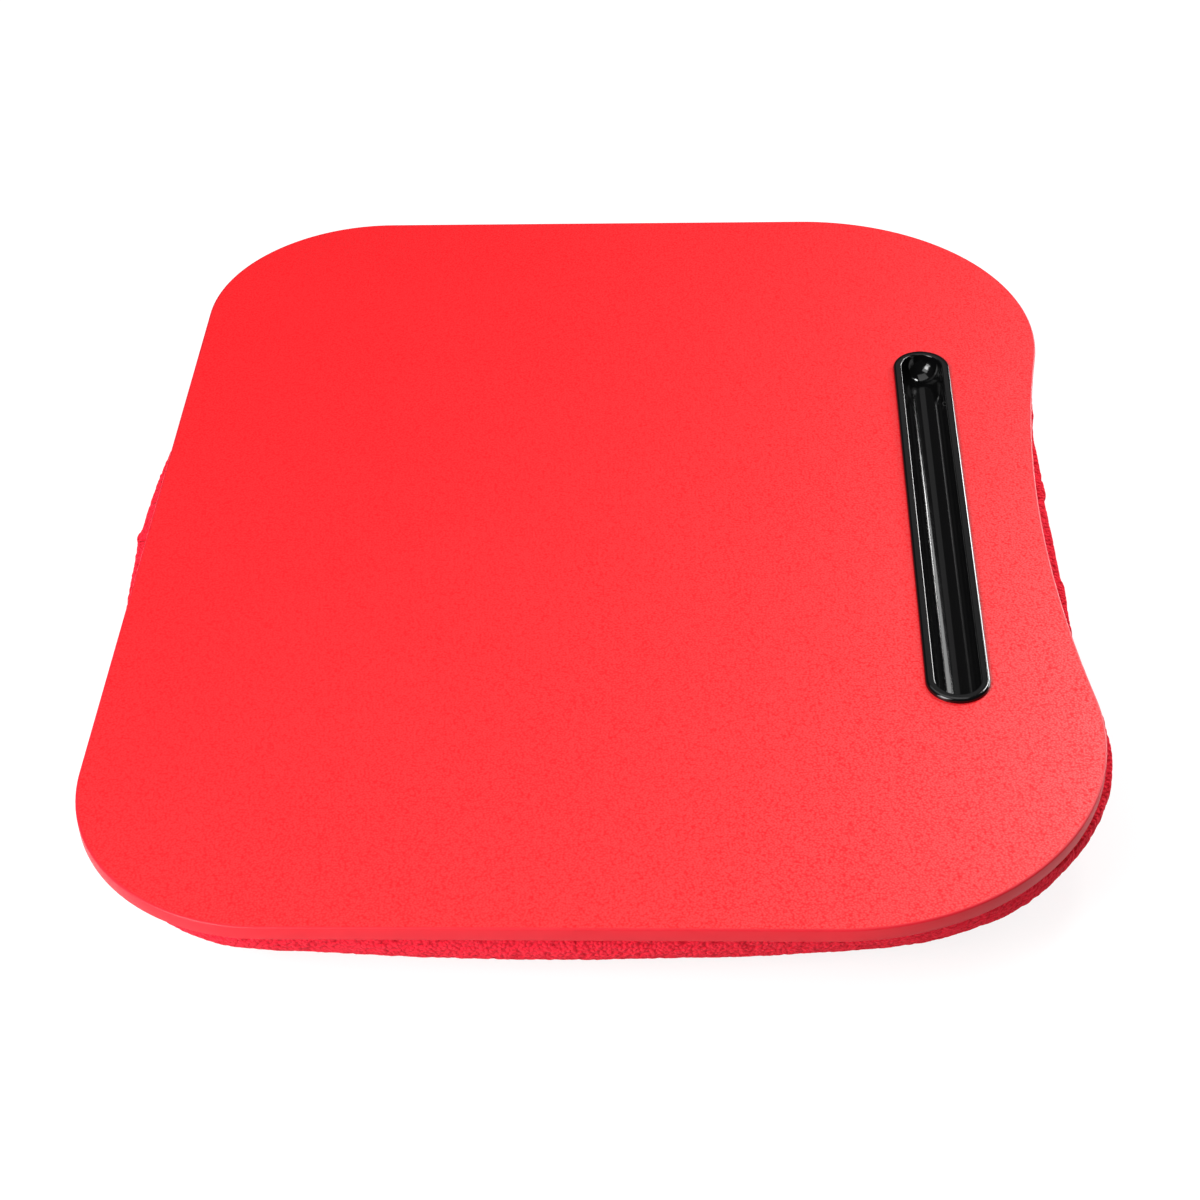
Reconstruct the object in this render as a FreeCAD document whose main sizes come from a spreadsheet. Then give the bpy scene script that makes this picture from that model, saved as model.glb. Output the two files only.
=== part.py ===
import FreeCAD, Part

import math
import os

import Sketcher
from FreeCAD import Placement, Rotation, Vector

# Lap tray with a bead cushion. X runs along the board, +Y points away from the sitter, whose belly
# meets the hollow edge at -Y, and Z rises from the floor that the cushion rests on.

doc = FreeCAD.newDocument("LapTray")
sheet = doc.addObject("Spreadsheet::Sheet", "Sizes")

sizes = {
    # Writing board
    "board_length": 480,
    "board_depth": 390,
    "far_corner_radius": 80,
    "near_corner_radius": 106,
    "belly_depth": 11,
    "core_thickness": 5,
    "film_thickness": 0.4,
    "backing_thickness": 0.3,
    "strip_thickness": 1,
    "strip_bevel": 0.7,
    # Pen tray
    "tray_margin": 43,
    "trough_length": 234.5,
    "trough_width": 18,
    "tray_wall": 1.2,
    "trough_clearance": 0.3,
    "slot_clearance": 0.3,
    "rim_overlap": 2.2,
    "rim_height": 1.8,
    "rim_round": 1.2,
    "mouth_round": 0.6,
    "lug_length": 12,
    "lug_spacing": 70,
    "lug_height": 1.3,
    "lug_reach": 1,
    "lug_clearance": 0.15,
    "lug_slope": 1.2,
    # Hook and loop tapes
    "tape_length": 70,
    "tape_width": 20,
    "tape_spacing": 130,
    "far_tape_margin": 85,
    "near_tape_gap": 51,
    "hook_thickness": 1.6,
    "loop_thickness": 1.8,
    # Cushion
    "cushion_height": 40,
    "end_inset": 5.5,
    "end_arc_radius": 1080,
    "end_arc_middle": 13,
    "far_bulge": 7.3,
    "far_arc_radius": 780,
    "near_bulge": 3.7,
    "belly_bulge": 5,
    "far_base_corner": 14,
    "near_base_corner": 42,
    "shoulder_height": 5.5,
    "shoulder_inset": 8,
    "side_run": 60,
    "base_turn": 80,
    "cover_thickness": 1.6,
    "panel_thickness": 0.8,
    "filling_gap": 0.3,
}

for row, (alias, value) in enumerate(sizes.items(), start=1):
    sheet.set(f"A{row}", alias)
    sheet.set(f"B{row}", str(value))
    sheet.setAlias(f"B{row}", alias)
doc.recompute()


def value_of(expression):
    return float(sheet.evalExpression(expression))


def size(alias):
    return value_of("Sizes." + alias)


# Heights of the stack above the floor, and the shift that centres the whole object on the origin
hook_level = "Sizes.cushion_height + Sizes.loop_thickness"
backing_level = hook_level + " + Sizes.hook_thickness"
core_level = backing_level + " + Sizes.backing_thickness"
film_level = core_level + " + Sizes.core_thickness"
rim_level = film_level + " + Sizes.film_thickness"
board_height = "(Sizes.backing_thickness + Sizes.core_thickness + Sizes.film_thickness)"
board_middle = "(Sizes.near_bulge - Sizes.far_bulge) / 2"
tray_offset = "(Sizes.board_depth / 2 - Sizes.belly_depth - Sizes.tray_margin)"
tray_middle = f"{board_middle} - {tray_offset}"

# A sketch counts a curve's start, end and centre, its own origin and its upright axis by these indices
start_index = 1
end_index = 2
centre_index = 3
origin_index = -1
upright_index = -2
half_turn = math.pi
quarter_turn = math.pi / 2


def new_body(name, level, middle=board_middle):
    body = doc.addObject("PartDesign::Body", name)
    body.Label = name
    body.setExpression("Placement.Base.y", middle)
    body.setExpression("Placement.Base.z", level)
    return body


def origin_plane(body, role):
    return next(plane for plane in body.Origin.OriginFeatures if plane.Role == role)


def new_sketch(body, name, role="XY_Plane"):
    sketch = body.newObject("Sketcher::SketchObject", name)
    sketch.AttachmentSupport = [(origin_plane(body, role), "")]
    sketch.MapMode = "FlatFace"
    return sketch


def dimension(sketch, name, expression, kind, *where):
    index = sketch.addConstraint(Sketcher.Constraint(kind, *where, value_of(expression)))
    sketch.renameConstraint(index, name)
    sketch.setExpression("Constraints." + name, expression)


def join(sketch, kind, *pairs):
    for first, first_index, second, second_index in pairs:
        sketch.addConstraint(Sketcher.Constraint(kind, first, first_index, second, second_index))


def line(sketch, start, end):
    return sketch.addGeometry(Part.LineSegment(Vector(*start, 0), Vector(*end, 0)))


def arc(sketch, centre, radius, first_angle, last_angle):
    circle = Part.Circle(Vector(*centre, 0), Vector(0, 0, 1), radius)
    return sketch.addGeometry(Part.ArcOfCircle(circle, first_angle, last_angle))


def belly_radius(inset):
    run = "(Sizes.board_length / 2 - Sizes.near_corner_radius)"
    return (f"{run} * {run} / (2 * Sizes.belly_depth) + Sizes.belly_depth / 2"
            f" - Sizes.near_corner_radius + {inset}")


def board_outline(sketch, inset, tag):
    # Straight far edge and ends, four round corners and a hollow belly edge, all set in by the inset
    half_length = f"Sizes.board_length / 2 - {inset}"
    half_depth = f"Sizes.board_depth / 2 - {inset}"
    far_radius = f"Sizes.far_corner_radius - {inset}"
    near_radius = f"Sizes.near_corner_radius - {inset}"
    near_middle = "Sizes.board_depth / 2 - Sizes.near_corner_radius"
    end_x = value_of(half_length)
    far_y = value_of(half_depth)
    far_round = value_of(far_radius)
    near_round = value_of(near_radius)
    belly_round = value_of(belly_radius(inset))
    far_x = end_x - far_round
    near_x = end_x - near_round
    far_centre_y = far_y - far_round
    near_centre_y = -value_of(near_middle)
    belly_y = near_centre_y - math.sqrt((belly_round + near_round) ** 2 - near_x ** 2)
    lean = math.atan2(near_x, near_centre_y - belly_y)

    far_edge = line(sketch, (-far_x, far_y), (far_x, far_y))
    far_right = arc(sketch, (far_x, far_centre_y), far_round, 0, quarter_turn)
    right_end = line(sketch, (end_x, far_centre_y), (end_x, near_centre_y))
    near_right = arc(sketch, (near_x, near_centre_y), near_round, -quarter_turn - lean, 0)
    belly = arc(sketch, (0, belly_y), belly_round, quarter_turn - lean, quarter_turn + lean)
    near_left = arc(sketch, (-near_x, near_centre_y), near_round, half_turn, half_turn + quarter_turn + lean)
    left_end = line(sketch, (-end_x, far_centre_y), (-end_x, near_centre_y))
    far_left = arc(sketch, (-far_x, far_centre_y), far_round, quarter_turn, half_turn)

    join(sketch, "Tangent",
         (far_edge, end_index, far_right, end_index),
         (far_right, start_index, right_end, start_index),
         (right_end, end_index, near_right, end_index),
         (near_right, start_index, belly, start_index),
         (belly, end_index, near_left, end_index),
         (near_left, start_index, left_end, end_index),
         (left_end, start_index, far_left, end_index),
         (far_left, start_index, far_edge, start_index))
    sketch.addConstraint(Sketcher.Constraint("Horizontal", far_edge))
    sketch.addConstraint(Sketcher.Constraint("Vertical", right_end))
    sketch.addConstraint(Sketcher.Constraint("Vertical", left_end))
    sketch.addConstraint(Sketcher.Constraint("Equal", far_right, far_left))
    sketch.addConstraint(Sketcher.Constraint("Equal", near_right, near_left))
    join(sketch, "Horizontal", (near_right, centre_index, near_left, centre_index))
    dimension(sketch, tag + "_far_radius", far_radius, "Radius", far_right)
    dimension(sketch, tag + "_near_radius", near_radius, "Radius", near_right)
    dimension(sketch, tag + "_belly_radius", belly_radius(inset), "Radius", belly)
    dimension(sketch, tag + "_right_reach", half_length, "DistanceX",
              origin_index, start_index, right_end, start_index)
    dimension(sketch, tag + "_left_reach", half_length, "DistanceX",
              left_end, start_index, origin_index, start_index)
    dimension(sketch, tag + "_far_reach", half_depth, "DistanceY",
              origin_index, start_index, far_edge, start_index)
    dimension(sketch, tag + "_near_middle", near_middle, "DistanceY",
              near_right, centre_index, origin_index, start_index)


rim_seat = "0"
trough_run = "Sizes.trough_length - Sizes.trough_width"
slot_radius = "Sizes.trough_width / 2 + Sizes.tray_wall + Sizes.slot_clearance"
rim_radius = slot_radius + " + Sizes.rim_overlap"


def stadium(sketch, radius):
    # Round-ended slot about the sketch origin, with the pen trough's distance between its end centres
    half_run = value_of(trough_run) / 2
    end_round = value_of(radius)
    far_side = line(sketch, (-half_run, end_round), (half_run, end_round))
    right_arc = arc(sketch, (half_run, 0), end_round, -quarter_turn, quarter_turn)
    near_side = line(sketch, (half_run, -end_round), (-half_run, -end_round))
    left_arc = arc(sketch, (-half_run, 0), end_round, quarter_turn, half_turn + quarter_turn)
    join(sketch, "Tangent",
         (far_side, end_index, right_arc, end_index),
         (right_arc, start_index, near_side, start_index),
         (near_side, end_index, left_arc, end_index),
         (left_arc, start_index, far_side, start_index))
    sketch.addConstraint(Sketcher.Constraint("Horizontal", far_side))
    sketch.addConstraint(Sketcher.Constraint("Equal", right_arc, left_arc))
    sketch.addConstraint(Sketcher.Constraint("Symmetric", left_arc, centre_index, right_arc, centre_index,
                                             origin_index, start_index))
    dimension(sketch, "end_radius", radius, "Radius", right_arc)
    dimension(sketch, "centre_distance", trough_run, "DistanceX",
              left_arc, centre_index, right_arc, centre_index)


def pad(body, sketch, name, length):
    feature = body.newObject("PartDesign::Pad", name)
    feature.Profile = sketch
    feature.setExpression("Length", length)
    return feature


def slotted_sheet(name, level, thickness):
    # Flat layer of the board inside the edge strip, cut through where the pen tray drops in
    body = new_body(name, level)
    outline = new_sketch(body, name + "_outline")
    board_outline(outline, "Sizes.strip_thickness", "sheet")
    pad(body, outline, name + "_plate", thickness)
    slot = new_sketch(body, name + "_slot")
    slot.setExpression("AttachmentOffset.Base.y", f"-{tray_offset}")
    stadium(slot, slot_radius)
    doc.recompute()
    whole = body.Shape.Volume
    cut = body.newObject("PartDesign::Pocket", name + "_cut")
    cut.Profile = slot
    cut.Type = "ThroughAll"
    cut.Reversed = True
    doc.recompute()
    assert body.Shape.Volume < whole
    return body


def edges_at(feature, wire):
    # Names of a feature's edges that belong to the given wire
    names = []
    for index, edge in enumerate(feature.Shape.Edges, start=1):
        if any(edge.isSame(other) for other in wire.Edges):
            names.append(f"Edge{index}")
    return names


def top_face(feature):
    flat = [face for face in feature.Shape.Faces if isinstance(face.Surface, Part.Plane)]
    return max(flat, key=lambda face: face.CenterOfMass.z)


def edge_strip():
    # Banding round the board's edge, flush with the film and broken by a small bevel at the top
    body = new_body("edge_strip", backing_level)
    ring = new_sketch(body, "strip_ring")
    board_outline(ring, "0", "outer")
    board_outline(ring, "Sizes.strip_thickness", "inner")
    band = pad(body, ring, "strip_band", board_height)
    doc.recompute()
    bevel = body.newObject("PartDesign::Chamfer", "strip_bevelled")
    bevel.Base = (band, edges_at(band, top_face(band).OuterWire))
    bevel.setExpression("Size", "Sizes.strip_bevel")
    doc.recompute()
    return body


# The trough's round bottom passes through both mouth edges and the deepest line, which stays just
# clear of the cushion below
trough_depth = (f"(Sizes.loop_thickness + Sizes.hook_thickness + {board_height} + Sizes.rim_height"
                " - Sizes.trough_clearance - Sizes.tray_wall)")
trough_radius = (f"((Sizes.trough_width * Sizes.trough_width / 4 + {trough_depth} * {trough_depth})"
                 f" / (2 * {trough_depth}))")
trough_middle = f"Sizes.rim_height - {trough_depth} + {trough_radius}"


def trough_section(sketch, radius, mouth):
    # Round trough seen along the tray, closed by a flat line across its mouth
    section_round = value_of(radius)
    middle = value_of(trough_middle)
    mouth_height = value_of(mouth)
    tilt = math.asin((mouth_height - middle) / section_round)
    half_mouth = section_round * math.cos(tilt)
    bottom = arc(sketch, (0, middle), section_round, half_turn - tilt, 2 * half_turn + tilt)
    across = line(sketch, (half_mouth, mouth_height), (-half_mouth, mouth_height))
    join(sketch, "Coincident",
         (bottom, end_index, across, start_index),
         (bottom, start_index, across, end_index))
    sketch.addConstraint(Sketcher.Constraint("Horizontal", across))
    sketch.addConstraint(Sketcher.Constraint("PointOnObject", bottom, centre_index, upright_index))
    dimension(sketch, "section_radius", radius, "Radius", bottom)
    dimension(sketch, "section_middle", trough_middle, "DistanceY",
              origin_index, start_index, bottom, centre_index)
    dimension(sketch, "mouth_height", mouth, "DistanceY",
              origin_index, start_index, across, start_index)


def trough_half_section(sketch, radius, mouth):
    # Outer half of the same section, turned about the vertical axis to close the trough's ends
    section_round = value_of(radius)
    middle = value_of(trough_middle)
    mouth_height = value_of(mouth)
    tilt = math.asin((mouth_height - middle) / section_round)
    half_mouth = section_round * math.cos(tilt)
    bottom = arc(sketch, (0, middle), section_round, -quarter_turn, tilt)
    across = line(sketch, (half_mouth, mouth_height), (0, mouth_height))
    spine = line(sketch, (0, mouth_height), (0, middle - section_round))
    join(sketch, "Coincident",
         (bottom, end_index, across, start_index),
         (across, end_index, spine, start_index),
         (spine, end_index, bottom, start_index))
    sketch.addConstraint(Sketcher.Constraint("Horizontal", across))
    sketch.addConstraint(Sketcher.Constraint("Vertical", spine))
    sketch.addConstraint(Sketcher.Constraint("PointOnObject", bottom, centre_index, upright_index))
    sketch.addConstraint(Sketcher.Constraint("PointOnObject", spine, start_index, upright_index))
    dimension(sketch, "section_radius", radius, "Radius", bottom)
    dimension(sketch, "section_middle", trough_middle, "DistanceY",
              origin_index, start_index, bottom, centre_index)
    dimension(sketch, "mouth_height", mouth, "DistanceY",
              origin_index, start_index, across, start_index)


def trough_form(body, name, straight_kind, turned_kind, radius, mouth):
    # Straight trough with a round end at each side, added to the tray or cut from it
    section = new_sketch(body, name + "_section", "YZ_Plane")
    trough_section(section, radius, mouth)
    straight = body.newObject(straight_kind, name + "_straight")
    straight.Profile = section
    straight.Midplane = True
    straight.setExpression("Length", trough_run)
    half = new_sketch(body, name + "_half_section", "XZ_Plane")
    half.setExpression("AttachmentOffset.Base.x", f"({trough_run}) / 2")
    trough_half_section(half, radius, mouth)
    turned = body.newObject(turned_kind, name + "_end")
    turned.Profile = half
    turned.ReferenceAxis = (half, ["V_Axis"])
    turned.Angle = math.degrees(half_turn)
    turned.Midplane = True
    doc.recompute()
    both = body.newObject("PartDesign::Mirrored", name + "_ends")
    both.Originals = [turned]
    both.MirrorPlane = (origin_plane(body, "YZ_Plane"), [""])
    body.Tip = both
    doc.recompute()


def snap_lugs(body):
    # Wedges that catch under the board, drawn right across so that the trough's cut leaves one each side
    lugs = new_sketch(body, "lug_section", "YZ_Plane")
    lugs.setExpression("AttachmentOffset.Base.z", "-Sizes.lug_spacing")
    top = f"{board_height} + Sizes.lug_clearance"
    reach = f"{slot_radius} + Sizes.lug_reach"
    tip = value_of(reach)
    root = tip - value_of("Sizes.lug_slope")
    high = -value_of(top)
    low = high - value_of("Sizes.lug_height")
    upper = line(lugs, (-tip, high), (tip, high))
    right = line(lugs, (tip, high), (root, low))
    lower = line(lugs, (root, low), (-root, low))
    left = line(lugs, (-root, low), (-tip, high))
    join(lugs, "Coincident",
         (upper, end_index, right, start_index),
         (right, end_index, lower, start_index),
         (lower, end_index, left, start_index),
         (left, end_index, upper, start_index))
    for level in (upper, lower):
        lugs.addConstraint(Sketcher.Constraint("Symmetric", level, start_index, level, end_index,
                                               upright_index))
    dimension(lugs, "reach", reach, "DistanceX", origin_index, start_index, upper, end_index)
    dimension(lugs, "top", top, "DistanceY", upper, end_index, origin_index, start_index)
    dimension(lugs, "height", "Sizes.lug_height", "DistanceY", lower, start_index, upper, end_index)
    dimension(lugs, "slope", "Sizes.lug_slope", "DistanceX", lower, start_index, upper, end_index)
    wedge = pad(body, lugs, "lug", "Sizes.lug_length")
    wedge.Midplane = True
    doc.recompute()
    rows = body.newObject("PartDesign::LinearPattern", "lugs")
    rows.Originals = [wedge]
    rows.Direction = (lugs, ["N_Axis"])
    rows.setExpression("Length", "2 * Sizes.lug_spacing")
    rows.Occurrences = 3
    body.Tip = rows
    doc.recompute()


def round_edge(body, name, wire, radius):
    base = body.Tip
    rounded = body.newObject("PartDesign::Fillet", name)
    rounded.Base = (base, edges_at(base, wire))
    rounded.setExpression("Radius", radius)
    doc.recompute()


def pen_tray():
    # One moulding: a raised rim on the film, a round trough through the board and lugs that hold it
    body = new_body("pen_tray", rim_level, tray_middle)
    rim = new_sketch(body, "rim_outline")
    stadium(rim, rim_radius)
    pad(body, rim, "rim", "Sizes.rim_height")
    trough_form(body, "shell", "PartDesign::Pad", "PartDesign::Revolution",
                f"{trough_radius} + Sizes.tray_wall", rim_seat)
    snap_lugs(body)
    filled = body.Shape.Volume
    trough_form(body, "trough", "PartDesign::Pocket", "PartDesign::Groove",
                trough_radius, "Sizes.rim_height")
    assert body.Shape.Volume < filled
    round_edge(body, "rim_rounded", top_face(body.Tip).OuterWire, "Sizes.rim_round")
    rim_top = top_face(body.Tip)
    mouth = next(wire for wire in rim_top.Wires if not wire.isSame(rim_top.OuterWire))
    round_edge(body, "mouth_rounded", mouth, "Sizes.mouth_round")
    return body


def tapes(name, level, thickness):
    # Three short tapes in a far row and three in a near row, cut square from the roll
    pieces = []
    far_row = f"{board_middle} + Sizes.board_depth / 2 - Sizes.far_tape_margin"
    near_row = f"{tray_middle} + Sizes.near_tape_gap"
    for row, row_middle in (("far", far_row), ("near", near_row)):
        for column in (-1, 0, 1):
            tape = doc.addObject("Part::Box", f"{name}_{row}_{column + 2}")
            tape.setExpression("Length", "Sizes.tape_length")
            tape.setExpression("Width", "Sizes.tape_width")
            tape.setExpression("Height", thickness)
            tape.setExpression("Placement.Base.x", f"{column} * Sizes.tape_spacing - Sizes.tape_length / 2")
            tape.setExpression("Placement.Base.y", f"{row_middle} - Sizes.tape_width / 2")
            tape.setExpression("Placement.Base.z", level)
            pieces.append(tape)
    group = doc.addObject("Part::Compound", name)
    group.Label = name
    group.Links = pieces
    return group


def meeting(first_centre, first_radius, second_centre, second_radius, prefer):
    # Point at the given distances from two centres, on the side that the preferred direction names
    across = second_centre - first_centre
    distance = across.Length
    along = (first_radius ** 2 - second_radius ** 2 + distance ** 2) / (2 * distance)
    aside = math.sqrt(first_radius ** 2 - along ** 2)
    axis = across / distance
    normal = Vector(-axis.y, axis.x, 0)
    foot = first_centre + axis * along
    return max((foot + normal * aside, foot - normal * aside), key=prefer.dot)


def arc_between(centre, radius, first, last):
    # Short arc about a centre between the directions of two points
    first_angle = math.atan2(first.y - centre.y, first.x - centre.x)
    turn = math.atan2(last.y - centre.y, last.x - centre.x) - first_angle
    turn = (turn + half_turn) % (2 * half_turn) - half_turn
    places = []
    for share in (0, 0.5, 1):
        angle = first_angle + share * turn
        places.append(centre + Vector(math.cos(angle), math.sin(angle), 0) * radius)
    return Part.Arc(*places).toShape()


def cushion_outline(inset, height):
    # Full far side and ends, round corners and a belly side that follows the board's hollow edge
    end_bend = size("end_arc_radius")
    far_bend = size("far_arc_radius")
    far_corner = size("side_run") + size("far_base_corner")
    near_corner = size("side_run") + size("near_base_corner")
    half_length = size("board_length") / 2 - size("end_inset")
    half_depth = (size("board_depth") + size("far_bulge") + size("near_bulge")) / 2
    hollow = size("belly_depth") + size("near_bulge") - size("belly_bulge")

    far = Vector(0, half_depth - far_bend, 0)
    ends = {}
    far_corners = {}
    near_corners = {}
    for side in (-1, 1):
        ends[side] = Vector(side * (half_length - end_bend), size("end_arc_middle"), 0)
        far_corners[side] = meeting(ends[side], end_bend - far_corner, far, far_bend - far_corner,
                                    Vector(side, 1, 0))
        near_y = near_corner - half_depth
        reach = math.sqrt((end_bend - near_corner) ** 2 - (near_y - ends[side].y) ** 2)
        near_corners[side] = Vector(ends[side].x + side * reach, near_y, 0)
    near_x = near_corners[1].x
    belly_bend = (near_x ** 2 + (near_corner - hollow) ** 2 - near_corner ** 2) / (2 * hollow)
    belly = Vector(0, hollow - half_depth - belly_bend, 0)

    edges = [
        arc_between(far, far_bend - inset, far_corners[-1], far_corners[1]),
        arc_between(belly, belly_bend + inset, near_corners[-1], near_corners[1]),
    ]
    for side in (-1, 1):
        corner = far_corners[side]
        near = near_corners[side]
        edges += [
            arc_between(corner, far_corner - inset, 2 * corner - far, 2 * corner - ends[side]),
            arc_between(ends[side], end_bend - inset, corner, near),
            arc_between(near, near_corner - inset, 2 * near - ends[side], belly),
        ]
    wire = Part.Wire(Part.__sortEdges__(edges))
    wire.translate(Vector(0, 0, height))
    return wire


shoulder_turns = (90, 60, 30)
side_turns = (0, 12, 24, 36, 48, 60, 70)


def cushion_form(skin, top_drop):
    # Bowl lofted down from the seam, over a small shoulder to the widest line and in to the flat base,
    # set inside the outer face by the skin and below the seam by the top drop
    shoulder = size("shoulder_height")
    widest = size("cushion_height") - shoulder
    base_turn = math.radians(size("base_turn"))
    sections = []
    for degrees in shoulder_turns:
        turn = math.radians(degrees)
        inset = skin + size("shoulder_inset") * (1 - math.cos(turn))
        sections.append(cushion_outline(inset, widest + (shoulder - top_drop) * math.sin(turn)))
    for degrees in (*side_turns, size("base_turn")):
        turn = math.radians(degrees)
        inset = skin + (size("side_run") - skin) * (1 - math.cos(turn)) / (1 - math.cos(base_turn))
        drop = (widest - skin) * math.sin(turn) / math.sin(base_turn)
        sections.append(cushion_outline(inset, widest - drop))
    return Part.makeLoft(sections, True, True)


def soft_piece(name, shape):
    piece = doc.addObject("Part::Feature", name)
    piece.Label = name
    piece.Shape = shape
    piece.Placement = Placement(Vector(0, 0, 0), Rotation())
    return piece


def cushion():
    # Fleece bowl sewn to a plain top panel, with the beads inside
    cover = size("cover_thickness")
    panel = size("panel_thickness")
    gap = size("filling_gap")
    seam = cushion_outline(size("shoulder_inset") + cover, size("cushion_height") - panel)
    panel_shape = Part.Face(seam).extrude(Vector(0, 0, panel))
    cover_shape = cushion_form(0, 0).cut(cushion_form(cover, panel)).cut(panel_shape)
    return [soft_piece("cushion_top_panel", panel_shape),
            soft_piece("cushion_cover", cover_shape.Solids[0]),
            soft_piece("bead_filling", cushion_form(cover + gap, panel + gap))]


pieces = [
    slotted_sheet("backing_sheet", backing_level, "Sizes.backing_thickness"),
    slotted_sheet("board_core", core_level, "Sizes.core_thickness"),
    slotted_sheet("top_film", film_level, "Sizes.film_thickness"),
    edge_strip(),
    pen_tray(),
    tapes("hook_tapes", hook_level, "Sizes.hook_thickness"),
    tapes("loop_tapes", "Sizes.cushion_height", "Sizes.loop_thickness"),
    *cushion(),
]
doc.recompute()

for item in doc.Objects:
    assert not {"Invalid", "Error"} & set(item.State), f"{item.Label} failed: {item.State}"
for piece in pieces:
    assert not piece.Shape.isNull(), f"{piece.Label} is empty"
    assert piece.Shape.isValid(), f"{piece.Label} is not a valid shape"

os.makedirs("parts", exist_ok=True)
for piece in pieces:
    piece.Shape.exportStep(f"parts/{piece.Label}.step")
    print(piece.Label, len(piece.Shape.Solids), "solids,", round(piece.Shape.Volume), "cubic mm")
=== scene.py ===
import math
import random

import bmesh
import bpy
from mathutils import Matrix, Vector, noise
from mathutils.bvhtree import BVHTree


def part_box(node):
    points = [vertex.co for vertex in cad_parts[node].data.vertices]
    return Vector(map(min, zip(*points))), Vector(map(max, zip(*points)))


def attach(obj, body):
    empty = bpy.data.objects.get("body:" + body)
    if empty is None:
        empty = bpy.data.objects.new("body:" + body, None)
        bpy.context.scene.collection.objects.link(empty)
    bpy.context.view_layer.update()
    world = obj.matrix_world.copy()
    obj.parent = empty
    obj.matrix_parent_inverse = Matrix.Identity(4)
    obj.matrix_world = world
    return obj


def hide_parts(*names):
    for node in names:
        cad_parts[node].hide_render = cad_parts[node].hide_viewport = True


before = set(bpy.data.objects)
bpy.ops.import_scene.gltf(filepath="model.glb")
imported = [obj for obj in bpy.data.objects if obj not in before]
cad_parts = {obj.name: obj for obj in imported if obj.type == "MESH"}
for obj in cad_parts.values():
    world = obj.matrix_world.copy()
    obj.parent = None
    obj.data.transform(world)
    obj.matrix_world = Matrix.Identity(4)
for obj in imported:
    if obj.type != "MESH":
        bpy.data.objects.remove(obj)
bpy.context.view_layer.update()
mm = 0.001
touching = 0.01 * mm  # points nearer than this are one
quarter = math.pi / 2
up = Vector((0, 0, 1))
print("frame loaded:", ", ".join(sorted(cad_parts)))


class Wire:  # a shader socket that can stand in a Python expression
    def __init__(self, tree, socket=None):
        self.tree = tree
        self.socket = socket

    def node(self, kind, settings, sockets, outlet=0):  # any node: settings first, then values and links
        made = self.tree.nodes.new(kind)
        for name, value in settings.items():
            setattr(made, name, value)
        for name, value in sockets.items():
            if isinstance(value, Wire):
                self.tree.links.new(value.socket, made.inputs[name])
            else:
                made.inputs[name].default_value = value
        return Wire(self.tree, made.outputs[outlet])

    def maths(self, operation, *values):
        return self.node("ShaderNodeMath", {"operation": operation}, dict(enumerate(values)))

    def clamped(self):  # kept between 0 and 1
        return self.maths("MAXIMUM", self.maths("MINIMUM", self, 1.0), 0.0)

    def __add__(self, other):
        return self.maths("ADD", self, other)

    def __radd__(self, other):
        return self.maths("ADD", other, self)

    def __sub__(self, other):
        return self.maths("SUBTRACT", self, other)

    def __rsub__(self, other):
        return self.maths("SUBTRACT", other, self)

    def __mul__(self, other):
        return self.maths("MULTIPLY", self, other)

    def __rmul__(self, other):
        return self.maths("MULTIPLY", other, self)


def newMaterial(name):
    material = bpy.data.materials.new(name)
    material.use_nodes = True
    material.node_tree.nodes.clear()
    return material, Wire(material.node_tree)


def objectPlace(tree):
    return tree.node("ShaderNodeTexCoord", {}, {}, "Object")


def colourMix(tree, share, first, second):
    return tree.node("ShaderNodeMix", {"data_type": "RGBA"}, {0: share, 6: first, 7: second}, 2)


def noiseHeight(tree, place, size, detail=2.0, contrast=0.5):
    sockets = {"Vector": place, "Scale": 1 / size, "Detail": detail, "Roughness": contrast}
    return tree.node("ShaderNodeTexNoise", {}, sockets)


def pebbleHeight(tree, place, size, smoothness):
    sockets = {"Vector": place, "Scale": 1 / size, "Smoothness": smoothness}
    return tree.node("ShaderNodeTexVoronoi", {"feature": "SMOOTH_F1"}, sockets)


def bump(tree, height, depth):
    return tree.node("ShaderNodeBump", {}, {"Height": height, "Distance": depth, "Strength": 1.0})


def surface(tree, shader):
    output = tree.tree.nodes.new("ShaderNodeOutputMaterial")
    tree.tree.links.new(shader.socket, output.inputs["Surface"])


def principled(tree, sockets):
    surface(tree, tree.node("ShaderNodeBsdfPrincipled", {}, sockets))


def newPiece(name, bm, material, body, smoothBelow=None):
    mesh = bpy.data.meshes.new(name)
    bm.to_mesh(mesh)
    bm.free()
    mesh.materials.append(material)
    if smoothBelow:
        mesh.shade_smooth()
        mesh.set_sharp_from_angle(angle=math.radians(smoothBelow))
    piece = bpy.data.objects.new(name, mesh)
    bpy.context.collection.objects.link(piece)
    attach(piece, body)
    return piece


def walkLine(bm, tip, step):
    ahead = bmesh.ops.extrude_vert_indiv(bm, verts=[tip])["verts"][0]
    ahead.co += Vector(step)
    return ahead


def walkArc(bm, tip, centre, axis, angle, steps):
    spun = bmesh.ops.spin(bm, geom=[tip], cent=centre, axis=axis, angle=angle, steps=steps)
    return next(item for item in spun["geom_last"] if isinstance(item, bmesh.types.BMVert))


def newest(made, kind):
    return [item for item in made["geom"] if isinstance(item, kind)]


def roundEdges(bm, edges, width, steps):
    bmesh.ops.bevel(bm, geom=edges, offset=width, offset_type="OFFSET", affect="EDGES", segments=steps,
                    profile=0.5, material=-1)


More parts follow.
